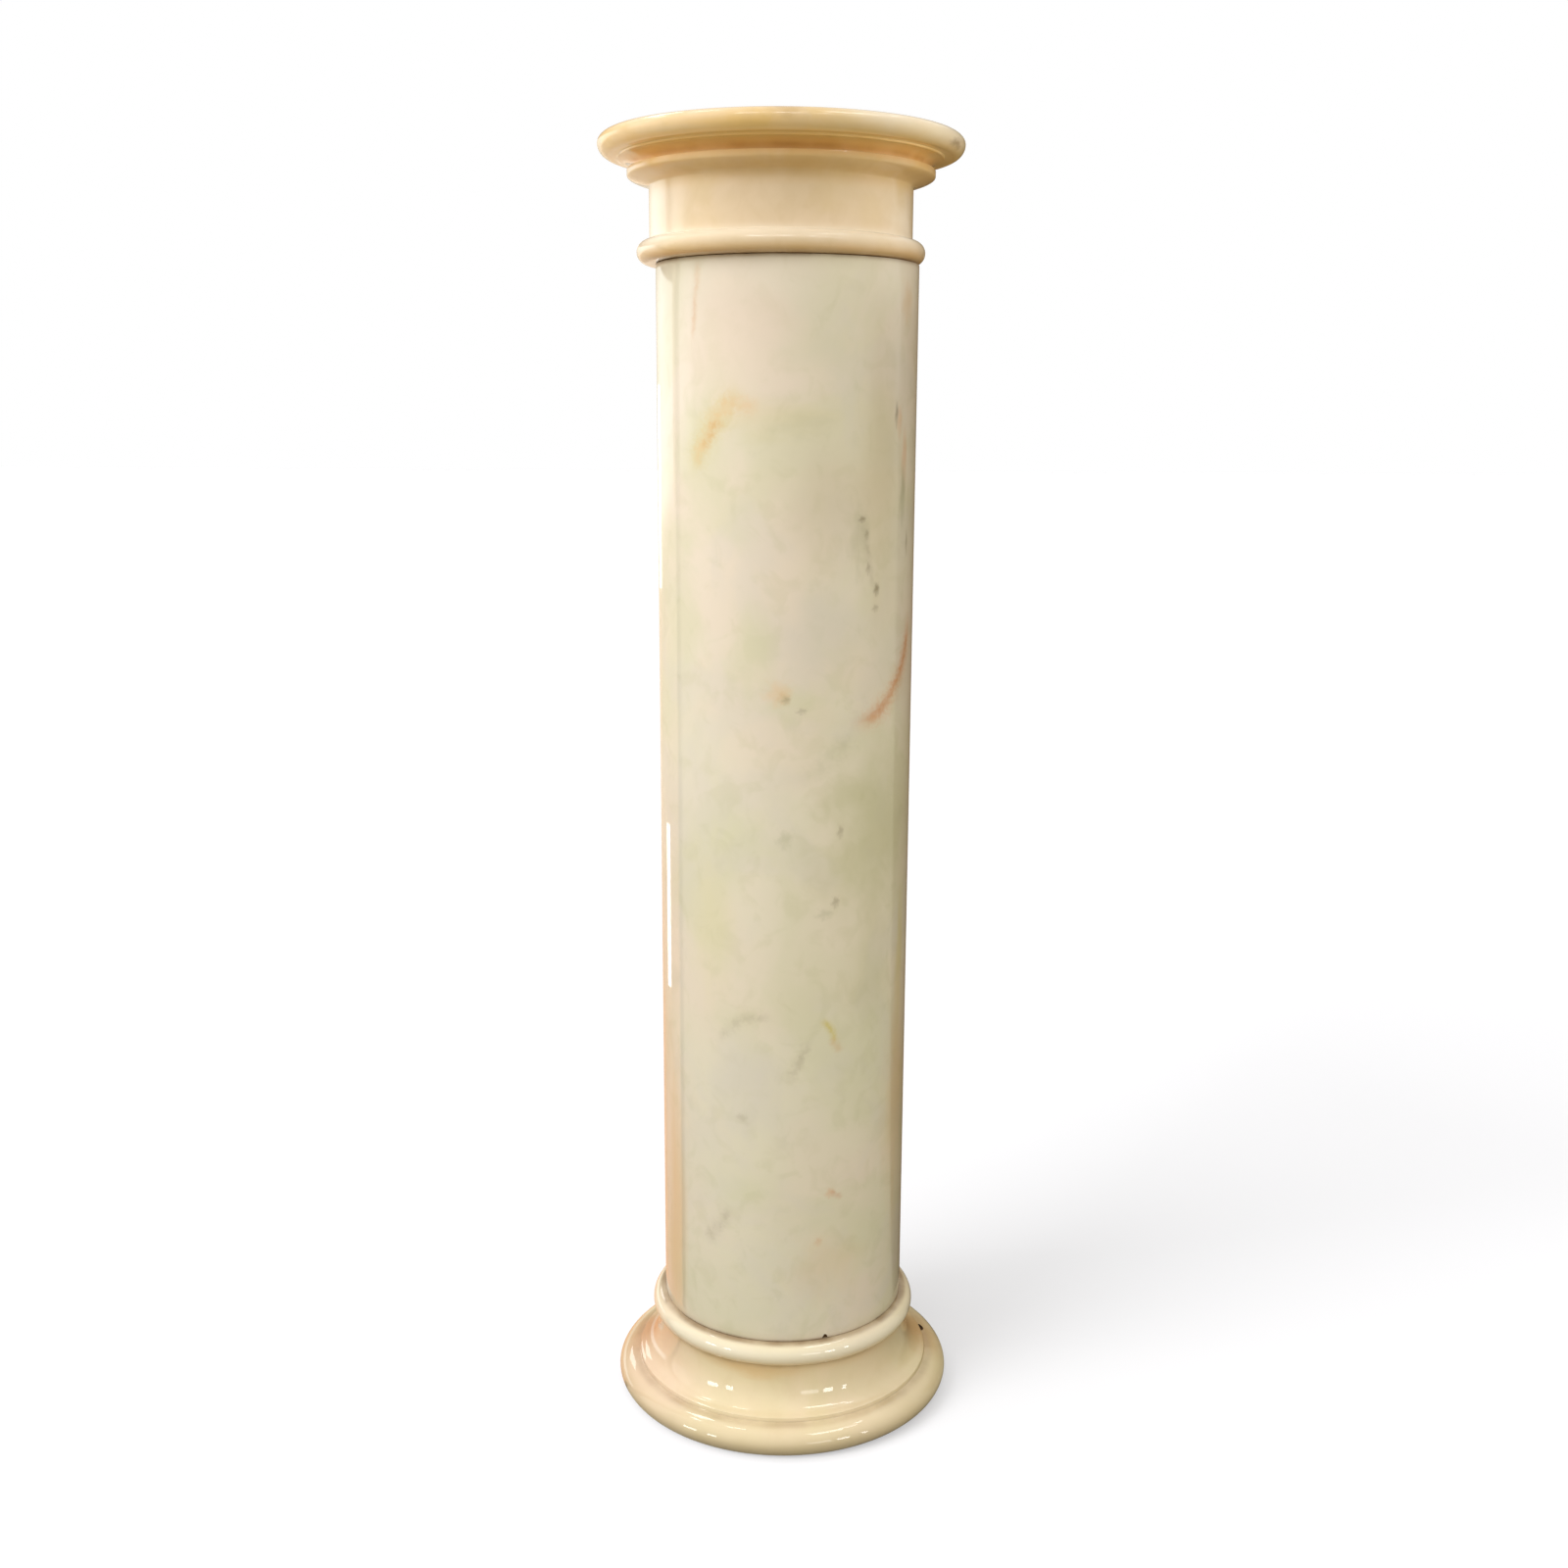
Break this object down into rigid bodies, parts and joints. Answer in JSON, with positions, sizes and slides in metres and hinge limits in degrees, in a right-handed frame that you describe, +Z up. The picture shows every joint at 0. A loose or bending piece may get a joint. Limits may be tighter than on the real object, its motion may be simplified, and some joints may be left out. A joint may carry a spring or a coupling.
{
  "type": "pedestal column",
  "caption": "Round polished marble pedestal column: moulded base with a large foot roll, plain shaft, and capital with a bead, neck and round-edged flat slab",
  "frame": {"origin": "centre of the base's underside, on the floor", "axes": "+Z up along the shaft's axis; +X to the right and -Y towards the viewer, as the picture shows the column"},
  "size_m": [0.2825, 0.28, 1.0129],
  "materials": {
    "base_marble": "polished warm cream marble, with a pink tint at one side",
    "shaft_marble": "polished cream marble with grey-green clouds and thin ochre veins",
    "capital_marble": "polished honey-coloured marble, paler on its neck"
  },
  "bodies": {
    "root": {"base": "base_marble", "shaft": "shaft_marble", "capital": "capital_marble"}
  },
  "joints": []
}
